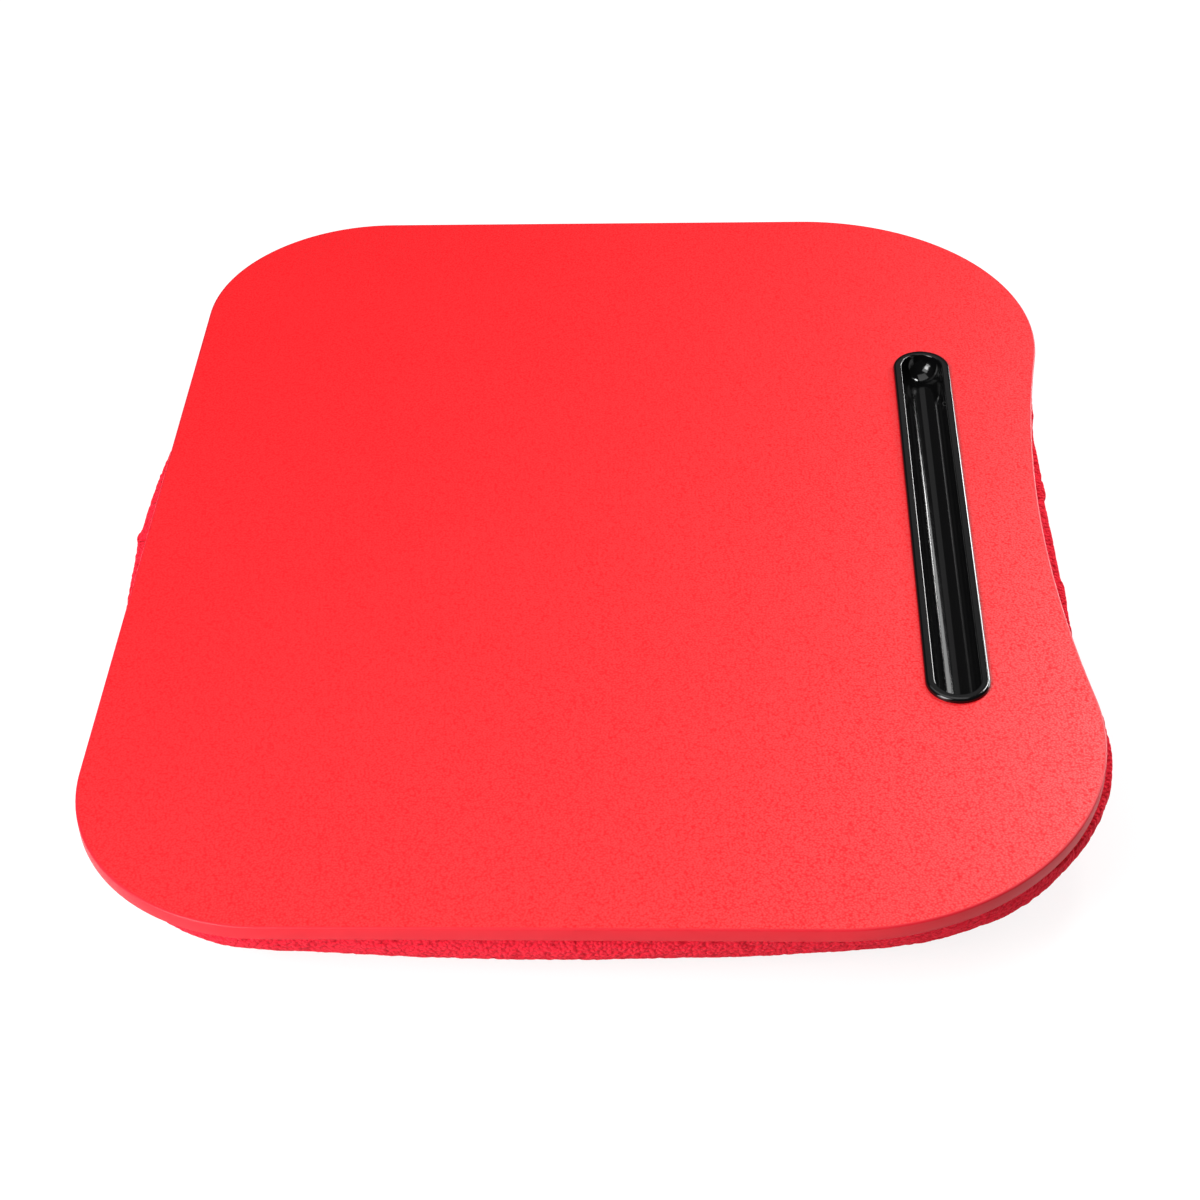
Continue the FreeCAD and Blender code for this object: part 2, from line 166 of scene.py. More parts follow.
# Board: the outline that the film and the edge strip share
board = {
    "farCorner": 80 * mm,
    "nearCorner": 106 * mm,
    "bellyDepth": 11 * mm,
    "cornerSteps": 40,
    "bellySteps": 48,
}
stripLow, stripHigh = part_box("edge_strip")
filmLow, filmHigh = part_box("top_film")
trayLow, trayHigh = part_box("pen_tray")
stripWidth = filmLow.x - stripLow.x
trayMiddle = (trayLow + trayHigh) / 2


def boardOutline(bm, inset, level):
    # walked anticlockwise from the far edge, with every arc about a centre that the inset leaves in place
    endX = stripHigh.x
    farX = endX - board["farCorner"]
    nearX = endX - board["nearCorner"]
    farMiddle = stripHigh.y - board["farCorner"]
    nearMiddle = stripLow.y + board["nearCorner"]
    depth = board["bellyDepth"]
    bellyBend = nearX ** 2 / (2 * depth) + depth / 2 - board["nearCorner"]
    bellyMiddle = nearMiddle - math.sqrt((bellyBend + board["nearCorner"]) ** 2 - nearX ** 2)
    lean = math.atan2(nearX, nearMiddle - bellyMiddle)
    corner = board["cornerSteps"]

    start = bm.verts.new((farX, stripHigh.y - inset, level))
    tip = walkLine(bm, start, (-2 * farX, 0, 0))
    tip = walkArc(bm, tip, (-farX, farMiddle, level), up, quarter, corner)
    tip = walkLine(bm, tip, (0, nearMiddle - farMiddle, 0))
    tip = walkArc(bm, tip, (-nearX, nearMiddle, level), up, quarter + lean, corner)
    tip = walkArc(bm, tip, (0, bellyMiddle, level), up, -2 * lean, board["bellySteps"])
    tip = walkArc(bm, tip, (nearX, nearMiddle, level), up, quarter + lean, corner)
    tip = walkLine(bm, tip, (0, farMiddle - nearMiddle, 0))
    walkArc(bm, tip, (farX, farMiddle, level), up, quarter, corner)
    bmesh.ops.remove_doubles(bm, verts=bm.verts, dist=touching)


# Pen tray: its sizes come first, because the film has the tray's slot
tray = {
    "troughLength": 234.5 * mm,
    "troughWidth": 18 * mm,
    "wall": 1.2 * mm,
    "slotClearance": 0.3 * mm,
    "rimOverlap": 2.2 * mm,
    "rimRound": 1.2 * mm,
    "mouthRound": 0.6 * mm,
    "endSteps": 32,
    "troughSteps": 24,
    "roundSteps": 6,
    "smoothBelow": 35,
    "lugPlaces": (-70 * mm, 0, 70 * mm),
    "lugLength": 12 * mm,
    "lugDepth": 3 * mm,  # from its tip to its end inside the wall
    "lugHeight": 1.3 * mm,
    "lugReach": 1 * mm,
    "lugSlope": 1.2 * mm,
    "lugClearance": 0.15 * mm,
    "lugBevel": 0.15 * mm,
    "lugSteps": 2,
    "colour": (0.003, 0.003, 0.0032, 1),
    "roughness": 0.06,
    "haze": 9 * mm,
    "hazeDetail": 3.0,
    "hazeRoughness": 0.08,
    "ripple": 5 * mm,
    "rippleDepth": 0.01 * mm,
}
troughRun = tray["troughLength"] - tray["troughWidth"]
slotRadius = tray["troughWidth"] / 2 + tray["wall"] + tray["slotClearance"]
rimRadius = slotRadius + tray["rimOverlap"]


def slotOutline(bm, level):
    half = troughRun / 2
    middle = trayMiddle.y
    start = bm.verts.new((half, middle - slotRadius, level))
    tip = walkArc(bm, start, (half, middle, level), up, math.pi, tray["endSteps"])
    tip = walkLine(bm, tip, (-troughRun, 0, 0))
    tip = walkArc(bm, tip, (-half, middle, level), up, math.pi, tray["endSteps"])
    bm.edges.new((tip, start))


# Top film
film = {
    "colour": (0.88, 0.013, 0.019, 1),
    "shade": (0.80, 0.009, 0.014, 1),
    "mottle": 60 * mm,
    "mottleShare": 0.5,
    "grain": 0.85 * mm,
    "grainSmooth": 0.35,
    "grainDepth": 0.14 * mm,
    "wanderSize": 2.5,  # in grains
    "wanderShare": 0.1,
    "fineSize": 0.35,  # in grains
    "fineShare": 0.15,
    "roughness": 0.45,
    "fineRoughness": 0.1,
    "gloss": 0.12,
    "sheen": 1.55,  # lies on the grain's pebbles
    "sheenFall": 1.8,  # and leaves the creases dull
    "sheenRoughness": 0.4,
}


def filmMaterial():
    material, tree = newMaterial("grainedRedFilm")
    place = objectPlace(tree)
    wander = noiseHeight(tree, place, film["wanderSize"] * film["grain"])
    pebbles = pebbleHeight(tree, place, film["grain"], film["grainSmooth"])
    fine = noiseHeight(tree, place, film["fineSize"] * film["grain"])
    height = film["fineShare"] * fine + film["wanderShare"] * wander - pebbles
    patches = noiseHeight(tree, place, film["mottle"])
    principled(tree, {
        "Base Color": colourMix(tree, film["mottleShare"] * patches, film["colour"], film["shade"]),
        "Roughness": film["roughness"] + film["fineRoughness"] * fine,
        "Specular IOR Level": film["gloss"],
        "Coat Weight": (film["sheen"] - film["sheenFall"] * pebbles).clamped(),
        "Coat Roughness": film["sheenRoughness"],
        "Normal": bump(tree, height, film["grainDepth"]),
    })
    return material


def makeFilm():
    bm = bmesh.new()
    boardOutline(bm, stripWidth, filmLow.z)
    slotOutline(bm, filmLow.z)
    bmesh.ops.triangle_fill(bm, edges=bm.edges, use_beauty=True, use_dissolve=True)
    sheet = bmesh.ops.extrude_face_region(bm, geom=bm.faces, use_keep_orig=True)
    bmesh.ops.translate(bm, verts=newest(sheet, bmesh.types.BMVert), vec=up * (filmHigh.z - filmLow.z))
    bmesh.ops.recalc_face_normals(bm, faces=bm.faces)
    piece = newPiece("topFilm", bm, filmMaterial(), "tray")
    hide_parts("top_film")


makeFilm()
print("film made")

# Edge strip
strip = {
    "topRound": 0.7 * mm,
    "baseRound": 0.25 * mm,
    "roundSteps": 4,
    "smoothBelow": 40,
    "colour": (0.74, 0.018, 0.032, 1),
    "shade": (0.67, 0.012, 0.024, 1),
    "streak": 14 * mm,
    "fine": 0.8 * mm,
    "fineDepth": 0.012 * mm,
    "roughness": 0.36,
    "fineRoughness": 0.08,
    "gloss": 0.26,
}


def stripMaterial():
    material, tree = newMaterial("satinRedBanding")
    place = objectPlace(tree)
    streaks = noiseHeight(tree, place, strip["streak"])
    fine = noiseHeight(tree, place, strip["fine"])
    principled(tree, {
        "Base Color": colourMix(tree, streaks, strip["colour"], strip["shade"]),
        "Roughness": strip["roughness"] + strip["fineRoughness"] * fine,
        "Specular IOR Level": strip["gloss"],
        "Normal": bump(tree, fine, strip["fineDepth"]),
    })
    return material


def edgesAt(bm, level):
    return [edge for edge in bm.edges if all(abs(vert.co.z - level) < touching for vert in edge.verts)]


def makeStrip():
    bm = bmesh.new()
    boardOutline(bm, 0, stripLow.z)
    bmesh.ops.contextual_create(bm, geom=bm.edges)
    block = bmesh.ops.extrude_face_region(bm, geom=bm.faces, use_keep_orig=True)
    bmesh.ops.translate(bm, verts=newest(block, bmesh.types.BMVert), vec=up * (stripHigh.z - stripLow.z))
    bmesh.ops.recalc_face_normals(bm, faces=bm.faces)
    roundEdges(bm, edgesAt(bm, stripHigh.z), strip["topRound"], strip["roundSteps"])
    roundEdges(bm, edgesAt(bm, stripLow.z), strip["baseRound"], strip["roundSteps"])
    # both flats are set in to the board's face, opened there and joined by the hidden inner wall
    flats = sorted(bm.faces, key=lambda face: len(face.verts))[-2:]
    for flat in flats:
        rounded = strip["topRound"] if flat.calc_center_median().z > trayMiddle.z else strip["baseRound"]
        bmesh.ops.inset_region(bm, faces=[flat], thickness=stripWidth - rounded, use_even_offset=True)
    inner = [edge for flat in flats for edge in flat.edges]
    bmesh.ops.delete(bm, geom=flats, context="FACES_ONLY")
    bmesh.ops.bridge_loops(bm, edges=inner)
    bmesh.ops.recalc_face_normals(bm, faces=bm.faces)
    piece = newPiece("edgeStrip", bm, stripMaterial(), "tray", strip["smoothBelow"])
    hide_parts("edge_strip")


makeStrip()
print("edge strip made")


# Pen tray: the moulding
def trayMaterial():
    material, tree = newMaterial("glossBlackMoulding")
    place = objectPlace(tree)
    haze = noiseHeight(tree, place, tray["haze"], tray["hazeDetail"])
    ripple = noiseHeight(tree, place, tray["ripple"])
    principled(tree, {
        "Base Color": tray["colour"],
        "Roughness": tray["roughness"] + tray["hazeRoughness"] * haze,
        "Normal": bump(tree, ripple, tray["rippleDepth"]),
    })
    return material


def traySection(bm):
    # half section from the trough's lowest line over the rim and back under the wall
    seat = filmHigh.z
    top = trayHigh.z
    mouth = tray["troughWidth"] / 2
    deep = trayLow.z + tray["wall"]
    depth = top - deep
    bend = (mouth ** 2 + depth ** 2) / (2 * depth)
    middle = deep + bend
    outerBend = bend + tray["wall"]
    soft = tray["mouthRound"]
    softX = math.sqrt((bend + soft) ** 2 - (top - soft - middle) ** 2)
    mouthTurn = math.atan2(top - soft - middle, softX)
    wide = tray["rimRound"]
    shellX = math.sqrt(outerBend ** 2 - (seat - middle) ** 2)
    shellTurn = math.atan2(seat - middle, shellX)
    turn = (0, -1, 0)  # anticlockwise with X to the right and Z up

    tip = bm.verts.new((0, 0, deep))
    tip = walkArc(bm, tip, (0, 0, middle), turn, quarter + mouthTurn, tray["troughSteps"])
    tip = walkArc(bm, tip, (softX, 0, top - soft), turn, -(quarter + mouthTurn), tray["roundSteps"])
    tip = walkLine(bm, tip, (rimRadius - wide - softX, 0, 0))
    tip = walkArc(bm, tip, (rimRadius - wide, 0, top - wide), turn, -quarter, tray["roundSteps"])
    tip = walkLine(bm, tip, (0, 0, seat - top + wide))
    tip = walkLine(bm, tip, (shellX - rimRadius, 0, 0))
    walkArc(bm, tip, (0, 0, middle), turn, -(quarter + shellTurn), tray["troughSteps"])


def sweepTray(bm):
    # the section goes round one end, along the far side, round the other end and back
    end = Vector((troughRun / 2, trayMiddle.y, 0))
    bmesh.ops.rotate(bm, verts=bm.verts, cent=(0, 0, 0), matrix=Matrix.Rotation(-quarter, 3, "Z"))
    bmesh.ops.translate(bm, verts=bm.verts, vec=end)
    section = bm.edges[:]
    for side in (1, -1):
        spun = bmesh.ops.spin(bm, geom=section, cent=(side * end.x, end.y, 0), axis=up, angle=math.pi,
                              steps=tray["endSteps"])
        last = [item for item in spun["geom_last"] if isinstance(item, bmesh.types.BMEdge)]
        along = bmesh.ops.extrude_edge_only(bm, edges=last)
        moved = newest(along, bmesh.types.BMVert)
        made = newest(along, bmesh.types.BMEdge)
        section = [edge for edge in made if all(vert in moved for vert in edge.verts)]
        bmesh.ops.translate(bm, verts=moved, vec=(-side * troughRun, 0, 0))
    bmesh.ops.remove_doubles(bm, verts=bm.verts, dist=touching / 2)
    bmesh.ops.recalc_face_normals(bm, faces=bm.faces)


def addLug(bm, place, side):
    # a snap lug under the board, sloped below and sunk into the wall
    lug = bmesh.ops.create_cube(bm, size=1)["verts"]
    bmesh.ops.scale(bm, verts=lug, vec=(tray["lugLength"], tray["lugDepth"], tray["lugHeight"]))
    for vert in lug:
        if vert.co.z < 0 < vert.co.y:
            vert.co.y -= tray["lugSlope"]
    bmesh.ops.scale(bm, verts=lug, vec=(1, side, 1))
    away = slotRadius + tray["lugReach"] - tray["lugDepth"] / 2
    level = stripLow.z - tray["lugClearance"] - tray["lugHeight"] / 2
    bmesh.ops.translate(bm, verts=lug, vec=(place, trayMiddle.y + side * away, level))
    faces = dict.fromkeys(face for vert in lug for face in vert.link_faces)
    bmesh.ops.recalc_face_normals(bm, faces=list(faces))
    edges = dict.fromkeys(edge for vert in lug for edge in vert.link_edges)
    roundEdges(bm, list(edges), tray["lugBevel"], tray["lugSteps"])


def makePenTray():
    bm = bmesh.new()
    traySection(bm)
    sweepTray(bm)
    for place in tray["lugPlaces"]:
        for side in (-1, 1):
            addLug(bm, place, side)
    piece = newPiece("penTray", bm, trayMaterial(), "tray", tray["smoothBelow"])
    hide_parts("pen_tray")


makePenTray()
print("pen tray made")

# Board core and backing keep their solids and get their finish
core = {
    "light": (0.52, 0.36, 0.22, 1),
    "dark": (0.33, 0.21, 0.12, 1),
    "fleck": 1.2 * mm,
    "detail": 4.0,
    "contrast": 0.7,
    "depth": 0.1 * mm,
    "roughness": 0.8,
    "fleckRoughness": 0.15,
}
backing = {
    "light": (0.80, 0.77, 0.71, 1),
    "dark": (0.70, 0.66, 0.59, 1),
    "fleck": 3 * mm,
    "detail": 5.0,
    "contrast": 0.65,
    "depth": 0.03 * mm,
    "roughness": 0.6,
    "fleckRoughness": 0.2,
}


def fibreMaterial(name, fibre):
    material, tree = newMaterial(name)
    place = objectPlace(tree)
    flecks = noiseHeight(tree, place, fibre["fleck"], fibre["detail"], fibre["contrast"])
    principled(tree, {
        "Base Color": colourMix(tree, flecks, fibre["light"], fibre["dark"]),
        "Roughness": fibre["roughness"] + fibre["fleckRoughness"] * flecks,
        "Normal": bump(tree, flecks, fibre["depth"]),
    })
    return material


def dressNode(name, material):
    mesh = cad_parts[name].data
    mesh.materials.clear()
    mesh.materials.append(material)


dressNode("board_core", fibreMaterial("rawFibreboard", core))
dressNode("backing_sheet", fibreMaterial("backingPaper", backing))
print("board core and backing dressed")

# Tapes: their places come first, because the cushion is held under them
tape = {
    "length": 70 * mm,
    "width": 20 * mm,
    "spacing": 130 * mm,
    "ground": 0.5 * mm,
    "corner": 1.5 * mm,
    "cornerSteps": 4,
    "edgeGap": 1.2 * mm,
    "smallest": 0.85,  # strand, as a share of a full one
    "bendSteps": 5,
    "colour": (0.03, 0.03, 0.033, 1),
    # shade: the colour of the painted shade between the threads
    "shade": (0.012, 0.012, 0.014, 1),
    "weave": 0.8 * mm,
    "weaveDepth": 0.15 * mm,
}
loopLow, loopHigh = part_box("loop_tapes")
tapeRows = [loopLow.y + tape["width"] / 2, loopHigh.y - tape["width"] / 2]
tapePlaces = [(column * tape["spacing"], row) for row in tapeRows for column in (-1, 0, 1)]

# Cushion: a fleece bowl, filled with beads and closed by a plain cloth panel
cushion = {
    "voxel": 4.5 * mm,
    "pressure": 4,
    "frames": 20,
    "heldDepth": 1 * mm,  # what lies this near the base or the top is held there
    "swell": 1.2 * mm,  # most that a point may move
    "crown": 0.6 * mm,  # most that the top may rise between the tapes
    "trayRoom": 25 * mm,  # run in which the crown falls off towards the pen tray
    "smoothings": 3,
    "smoothShare": 0.5,
    "subdivisions": 2,
    "skin": 3.1 * mm,
    "shoulder": 4 * mm,
    "slump": 5.4 * mm,  # how far the shoulder lies below the seam
    "turnIn": 2.5 * mm,
    "twist": -0.45,  # degrees, stuck on a little askew
    "slip": 2.2 * mm,
    "lumps": [  # where the beads lie fuller or slacker: place, reach and swelling
        ((30 * mm, 200 * mm), 115 * mm, 3.2 * mm),
        ((-222 * mm, 150 * mm), 65 * mm, 4.4 * mm),
        ((-185 * mm, -170 * mm), 75 * mm, 2.2 * mm),
        ((-125 * mm, -200 * mm), 75 * mm, 3.0 * mm),
        ((-15 * mm, -190 * mm), 85 * mm, 3.4 * mm),
        ((125 * mm, -190 * mm), 95 * mm, -4.8 * mm),
    ],
    "bobble": 2.6 * mm,
    "bobbleRound": 0.8,
    "pile": 0.85 * mm,
    "clump": 9 * mm,
    "clumpLevel": 0.8,
    "clumpRange": 0.35,
    "smoothBelow": 180,
}
fleece = {
    "colour": (1.0, 0.019, 0.046, 1),
    # shade: the colour of the painted shade in the pile's pits, where the tufts lie low
    "shade": (0.55, 0.002, 0.010, 1),
    "shadeRise": 1.8,  # how fast the painted shade in the pits gives way to full colour as the pile stands higher
    "shadeStart": 0.55,
    "level": 1.1,
    "tuft": 1.6 * mm,
    "tuftSmooth": 0.3,
    "tuftShare": 1.2,
    "tuftDepth": 0.8 * mm,
    "wander": 2.4 * mm,
    "wanderShare": 0.5,
    "fuzz": 0.5 * mm,
    "fuzzDetail": 3.0,
    "fuzzContrast": 0.7,
    "fuzzShare": 0.35,
    "gloss": 0.1,
    "sheen": 0.5,
    "sheenRoughness": 0.5,
    "sheenTint": (1, 0.1, 0.14, 1),
}
_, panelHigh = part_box("cushion_top_panel")
beadsLow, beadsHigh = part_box("bead_filling")


def copyOfNode(name):
    bm = bmesh.new()
    bm.from_mesh(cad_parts[name].data)
    bmesh.ops.remove_doubles(bm, verts=bm.verts, dist=touching)
    return bm


panelCopy = copyOfNode("cushion_top_panel")
panelCut = BVHTree.FromBMesh(panelCopy)
panelCopy.free()


def shapedBy(mesh, kind, **settings):  # the mesh after one modifier
    holder = bpy.data.objects.new("shaping", mesh)
    bpy.context.collection.objects.link(holder)
    modifier = holder.modifiers.new(kind.lower(), kind)
    for name, value in settings.items():
        setattr(modifier, name, value)
    graph = bpy.context.evaluated_depsgraph_get()
    shaped = bpy.data.meshes.new_from_object(holder.evaluated_get(graph))
    bpy.data.objects.remove(holder)
    return shaped


def overTape(place, margin):
    halfLength = tape["length"] / 2 + margin
    halfWidth = tape["width"] / 2 + margin
    return any(abs(place.x - x) < halfLength and abs(place.y - y) < halfWidth for x, y in tapePlaces)


def topRoom(place):  # share of the crown that the top may take: none under the pen tray
    along = max(0, abs(place.x) - troughRun / 2)
    away = math.hypot(along, place.y - trayMiddle.y)
    return min(1, max(0, (away - rimRadius) / cushion["trayRoom"]))


def inflate(mesh):
    # cloth under the beads' pressure, held at the base and where the tapes are sewn
    holder = bpy.data.objects.new("inflating", mesh)
    bpy.context.collection.objects.link(holder)
    rest = [vert.co.copy() for vert in mesh.vertices]
    held = holder.vertex_groups.new(name="held")
    base = beadsLow.z + cushion["heldDepth"]
    top = beadsHigh.z - cushion["heldDepth"]
    held.add([index for index, place in enumerate(rest)
              if place.z < base or (place.z > top and overTape(place, cushion["voxel"]))], 1, "REPLACE")
    blowing = holder.modifiers.new("cloth", "CLOTH")
    blowing.settings.use_pressure = True
    blowing.settings.uniform_pressure_force = cushion["pressure"]
    blowing.settings.effector_weights.gravity = 0
    blowing.settings.vertex_group_mass = "held"
    blowing.point_cache.frame_end = cushion["frames"]
    scene = bpy.context.scene
    for number in range(1, cushion["frames"] + 1):
        scene.frame_set(number)
    graph = bpy.context.evaluated_depsgraph_get()
    blown = holder.evaluated_get(graph).data
    for vert, start, end in zip(mesh.vertices, rest, blown.vertices):
        move = end.co - start
        most = cushion["crown"] * topRoom(start) if start.z > top else cushion["swell"]
        if move.length > most:
            move *= most / move.length
        vert.co = start + move
    bpy.data.objects.remove(holder)
    scene.frame_set(1)


def underPanel(place):
    return place.z > beadsHigh.z / 2 and panelCut.ray_cast(Vector((*place.xy, 1)), -up)[0] is not None


def pileHeight(place):
    near = noise.voronoi(place / cushion["bobble"])[0][0]
    dome = math.sqrt(max(0, 1 - (near / cushion["bobbleRound"]) ** 2))
    clump = cushion["clumpLevel"] + cushion["clumpRange"] * noise.noise(place / cushion["clump"])
    return cushion["pile"] * dome * clump


def lumpHere(place):
    swelling = 0
    for centre, reach, amount in cushion["lumps"]:
        near = max(0, 1 - (place.xy - Vector(centre)).length / reach)
        swelling += amount * near * near * (3 - 2 * near)  # a smooth step
    return swelling


def shoulderLevel(place):  # the fleece drops away from the seam
    away = panelCut.find_nearest(place)[3]
    return panelHigh.z - cushion["slump"] * min(1, away / cushion["shoulder"])


def askew():  # how the cushion sits under the board
    turn = Matrix.Rotation(math.radians(cushion["twist"]), 4, "Z")
    return Matrix.Translation((cushion["slip"], 0, 0)) @ turn


def fleeceMaterial():
    material, tree = newMaterial("redFleece")
    place = objectPlace(tree)
    wander = noiseHeight(tree, place, fleece["wander"])
    tufts = pebbleHeight(tree, place, fleece["tuft"], fleece["tuftSmooth"])
    fuzz = noiseHeight(tree, place, fleece["fuzz"], fleece["fuzzDetail"], fleece["fuzzContrast"])
    height = (fleece["level"] - fleece["tuftShare"] * tufts + fleece["wanderShare"] * wander
              + fleece["fuzzShare"] * fuzz)
    # painted shade: the colour darkens in the pits between the tufts and is full on the high pile
    paintedLight = (fleece["shadeRise"] * height - fleece["shadeStart"]).clamped()
    principled(tree, {
        "Base Color": colourMix(tree, paintedLight, fleece["shade"], fleece["colour"]),
        "Roughness": 1.0,
        "Specular IOR Level": fleece["gloss"],
        "Sheen Weight": fleece["sheen"],
        "Sheen Roughness": fleece["sheenRoughness"],
        "Sheen Tint": fleece["sheenTint"],
        "Normal": bump(tree, height, fleece["tuftDepth"]),
    })
    return material


def filledBag():
    # the beads' shape, blown up and smoothed
    bm = copyOfNode("bead_filling")
    mesh = bpy.data.meshes.new("cushionStart")
    bm.to_mesh(mesh)
    bm.free()
    mesh = shapedBy(mesh, "REMESH", mode="VOXEL", voxel_size=cushion["voxel"])
    inflate(mesh)
    bm = bmesh.new()
    bm.from_mesh(mesh)
    for _ in range(cushion["smoothings"]):
        bmesh.ops.smooth_vert(bm, verts=bm.verts, factor=cushion["smoothShare"], use_axis_x=True,
                              use_axis_y=True, use_axis_z=True)
    bm.to_mesh(mesh)
    bm.free()
    finer = cushion["subdivisions"]
    mesh = shapedBy(mesh, "SUBSURF", levels=finer, render_levels=finer)
    bm = bmesh.new()
    bm.from_mesh(mesh)
    bm.normal_update()
    return bm


def makeCushion():
    bm = filledBag()
    top = BVHTree.FromBMesh(bm)
    hidden = [face for face in bm.faces if face.normal.z > 0 and underPanel(face.calc_center_median())]
    for vert in bm.verts:
        sideways = Vector((*vert.normal.xy, 0))
        pile = vert.normal * pileHeight(vert.co)
        highest = shoulderLevel(vert.co)
        vert.co += vert.normal * cushion["skin"] + sideways * lumpHere(vert.co)
        vert.co.z = min(vert.co.z, highest)
        vert.co += pile
        vert.co.z = min(max(vert.co.z, 0), panelHigh.z)
    # the panel covers the top, so the cover turns in under its edge there and one flat face closes it
    bmesh.ops.delete(bm, geom=hidden, context="FACES")
    turned = bmesh.ops.extrude_edge_only(bm, edges=[edge for edge in bm.edges if edge.is_boundary])
    for vert in newest(turned, bmesh.types.BMVert):
        vert.co.z = beadsHigh.z - cushion["turnIn"]
    bmesh.ops.holes_fill(bm, edges=[edge for edge in bm.edges if edge.is_boundary], sides=0)
    bm.transform(askew())
    bmesh.ops.recalc_face_normals(bm, faces=bm.faces)
    print("cushion faces", len(bm.faces))
    piece = newPiece("fleeceCushion", bm, fleeceMaterial(), "cushion", cushion["smoothBelow"])
    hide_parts("cushion_cover", "bead_filling")
    return top


cushionTop = makeCushion()
print("cushion made")

# Cloth of the panel and the tapes
cloth = {
    "slub": 6,  # in threads of the weave
    "slubHeight": 0.4,
    # slubShade and overShade weigh the painted light: painted shade between the threads and on thin slubs
    "slubShade": 0.3,
    "overShade": 0.7,
    "roughness": 0.95,
    "overPolish": 0.1,
    "gloss": 0.2,
    "sheen": 0.15,
}


def clothMaterial(name, woven):
    material, tree = newMaterial(name)
    place = objectPlace(tree)
    across = tree.node("ShaderNodeSeparateXYZ", {}, {0: place}, "X")
    along = tree.node("ShaderNodeSeparateXYZ", {}, {0: place}, "Y")
    turns = math.pi / woven["weave"]
    warp = tree.maths("SINE", across * turns)
    weft = tree.maths("SINE", along * turns)
    over = tree.maths("ABSOLUTE", warp) * tree.maths("ABSOLUTE", weft)
    slub = noiseHeight(tree, place, cloth["slub"] * woven["weave"])
    height = over + cloth["slubHeight"] * slub
    # painted shade: the colour darkens between the threads and where the slubs are thin, and is full on the
    # threads that lie over
    paintedLight = cloth["overShade"] * over + cloth["slubShade"] * slub
    principled(tree, {
        "Base Color": colourMix(tree, paintedLight, woven["shade"], woven["colour"]),
        "Roughness": cloth["roughness"] - cloth["overPolish"] * over,
        "Specular IOR Level": cloth["gloss"],
        "Sheen Weight": cloth["sheen"],
        "Normal": bump(tree, height, woven["weaveDepth"]),
    })
    return material


# Cloth panel that closes the bowl, drawn tight by its seam
panel = {
    "ringStep": 4 * mm,
    "rings": 44,
    "lift": 0.35 * mm,
    "thickness": 0.5 * mm,
    "pucker": 0.35 * mm,
    "puckerStep": 13 * mm,
    "puckerRun": 22 * mm,
    "headroom": 0.1 * mm,
    "deepest": 3 * mm,  # below the beads' top: a point that lies lower is past the cushion's edge
    "areaShare": 0.92,  # of its box, because of the corners
    "smoothBelow": 60,
    "colour": (0.60, 0.012, 0.026, 1),
    # shade: the colour of the painted shade between the threads
    "shade": (0.40, 0.006, 0.014, 1),
    "weave": 0.7 * mm,
    "weaveDepth": 0.15 * mm,
}


def panelLoop():
    # the panel's own outline, with its long edges divided
    bm = copyOfNode("cushion_top_panel")
    sides = [face for face in bm.faces if face.normal.z < 0.9]  # all but the top
    bmesh.ops.delete(bm, geom=sides, context="FACES")
    bmesh.ops.dissolve_faces(bm, faces=bm.faces)
    bmesh.ops.delete(bm, geom=bm.faces, context="FACES_ONLY")
    loose = [vert for vert in bm.verts if not vert.link_edges]
    bmesh.ops.delete(bm, geom=loose, context="VERTS")
    for edge in bm.edges[:]:
        cuts = int(edge.calc_length() / panel["ringStep"])
        if cuts:
            bmesh.ops.subdivide_edges(bm, edges=[edge], cuts=cuts)
    return bm


def makePanel():
    bm = panelLoop()
    ring = bm.edges[:]
    share = 1
    for number in range(panel["rings"]):
        made = bmesh.ops.extrude_edge_only(bm, edges=ring)
        verts = newest(made, bmesh.types.BMVert)
        fresh = set(verts)
        ring = [edge for edge in newest(made, bmesh.types.BMEdge) if fresh.issuperset(edge.verts)]
        smaller = 1 - (number + 1) / (panel["rings"] + 1)
        bmesh.ops.scale(bm, verts=verts, vec=(smaller / share, smaller / share, 1))
        share = smaller
    bmesh.ops.contextual_create(bm, geom=ring)
    edgeShare = panel["puckerRun"] / panelHigh.y
    for vert in bm.verts:
        place = vert.co.copy()
        hit = cushionTop.ray_cast(place + up, -up)[0]
        level = hit.z if hit and hit.z > beadsHigh.z - panel["deepest"] else beadsHigh.z
        away = 1 - max(abs(place.x) / panelHigh.x, abs(place.y) / panelHigh.y)
        gather = max(0, 1 - away / edgeShare)
        wave = panel["pucker"] * gather * noise.noise(place / panel["puckerStep"])
        vert.co.z = min(level + panel["lift"] + wave, panelHigh.z - panel["headroom"])
    bm.transform(askew())
    bmesh.ops.recalc_face_normals(bm, faces=bm.faces)
    weave = clothMaterial("redPanelCloth", panel)
    piece = newPiece("topPanel", bm, weave, "cushion", panel["smoothBelow"])
    thicken = piece.modifiers.new("thickness", "SOLIDIFY")
    thicken.thickness = panel["thickness"]
    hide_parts("cushion_top_panel")


makePanel()
print("top panel made")

# Seam: a rolled welt where the fleece meets the panel, and stitches beside it and round the loop tapes
seam = {
    "welt": 1.1 * mm,
    "weltSteps": 3,
    "weltSink": 0.7,  # of the welt's radius
    "weltWave": 0.15,
    "inset": 4 * mm,
    "stitchLength": 3 * mm,
    "stitchStep": 4.2 * mm,
    "stitchLift": 0.05 * mm,
    "thread": 0.5 * mm,
    "smoothBelow": 180,
    "threadColour": (0.62, 0.02, 0.03, 1),
    "lay": 0.6 * mm,
    "layDepth": 0.1 * mm,
    "roughness": 0.55,
    "layRoughness": 0.2,
}


